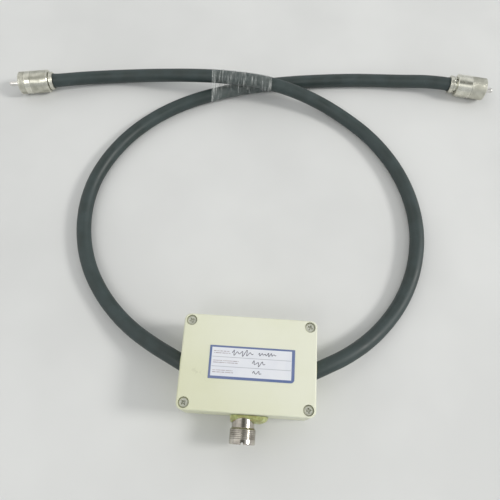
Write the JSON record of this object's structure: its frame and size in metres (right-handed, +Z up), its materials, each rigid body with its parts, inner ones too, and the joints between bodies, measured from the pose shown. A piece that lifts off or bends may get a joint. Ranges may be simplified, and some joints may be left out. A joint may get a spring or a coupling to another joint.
{
  "type": "coaxial power splitter harness",
  "caption": "Small plastic junction box with a threaded coaxial socket and two thick coaxial leads that sweep round, cross under clear tape and end in coupling-ring plugs.",
  "frame": {"origin": "middle of the box's underside, where it rests on the table", "axes": "+X towards the wall that lead 2 leaves, along the box's long side; +Y away from the socket, towards the leads' crossing; +Z up through the lid"},
  "size_m": [0.3928, 0.2944, 0.0333],
  "materials": {
    "cream_plastic": "satin moulded",
    "seal_rubber": "matte",
    "label_paper": "coated, with a printed border",
    "screw_steel": "zinc plated",
    "nickel": "nickel plated, slightly yellowed",
    "contact_brass": "bright",
    "white_dielectric": "waxy white",
    "adhesive": "yellowed, set adhesive",
    "solder": "smooth solder",
    "copper": "bare copper",
    "tinned_braid": "gathered braid",
    "cable_jacket": "smooth vinyl",
    "clear_tape": "glossy clear film"
  },
  "bodies": {
    "harness": {"base_shell": "cream_plastic", "socket_shell": "nickel", "socket_insulator": "white_dielectric", "socket_contact": "contact_brass", "socket_sealant": "adhesive", "ground_tag": "contact_brass", "solder_joint": "solder", "lead1_cable": "cable_jacket", "lead1_exit_seal": "adhesive", "lead1_dielectric": "white_dielectric", "lead1_conductor": "copper", "lead1_braid_tail": "tinned_braid", "lead1_plug_body": "nickel", "lead1_plug_core": "white_dielectric", "lead1_plug_insulator": "white_dielectric", "lead1_plug_pin": "nickel", "lead2_cable": "cable_jacket", "lead2_exit_seal": "adhesive", "lead2_dielectric": "white_dielectric", "lead2_conductor": "copper", "lead2_braid_tail": "tinned_braid", "lead2_plug_body": "nickel", "lead2_plug_core": "white_dielectric", "lead2_plug_insulator": "white_dielectric", "lead2_plug_pin": "nickel", "tape_wrap": "clear_tape"},
    "lid_group": {"lid": "cream_plastic", "lid_seal": "seal_rubber", "label": "label_paper", "lid_screw_1": "screw_steel", "lid_screw_2": "screw_steel", "lid_screw_3": "screw_steel", "lid_screw_4": "screw_steel"},
    "lead1_ring": {"lead1_plug_ring": "nickel"},
    "lead2_ring": {"lead2_plug_ring": "nickel"}
  },
  "joints": [
    {"name": "lid_lift", "type": "slide", "parent": "harness", "child": "lid_group", "axis": [0, 0, 1], "range_m": [0, 0.04]},
    {"name": "lead1_ring_spin", "type": "hinge", "parent": "harness", "child": "lead1_ring", "pos_m": [0.1497, 0.24037, 0.0088], "axis": [0.9937, -0.1122, 0], "continuous": true},
    {"name": "lead2_ring_spin", "type": "hinge", "parent": "harness", "child": "lead2_ring", "pos_m": [-0.1725, 0.22015, 0.0088], "axis": [-0.986, -0.1665, 0], "continuous": true}
  ]
}
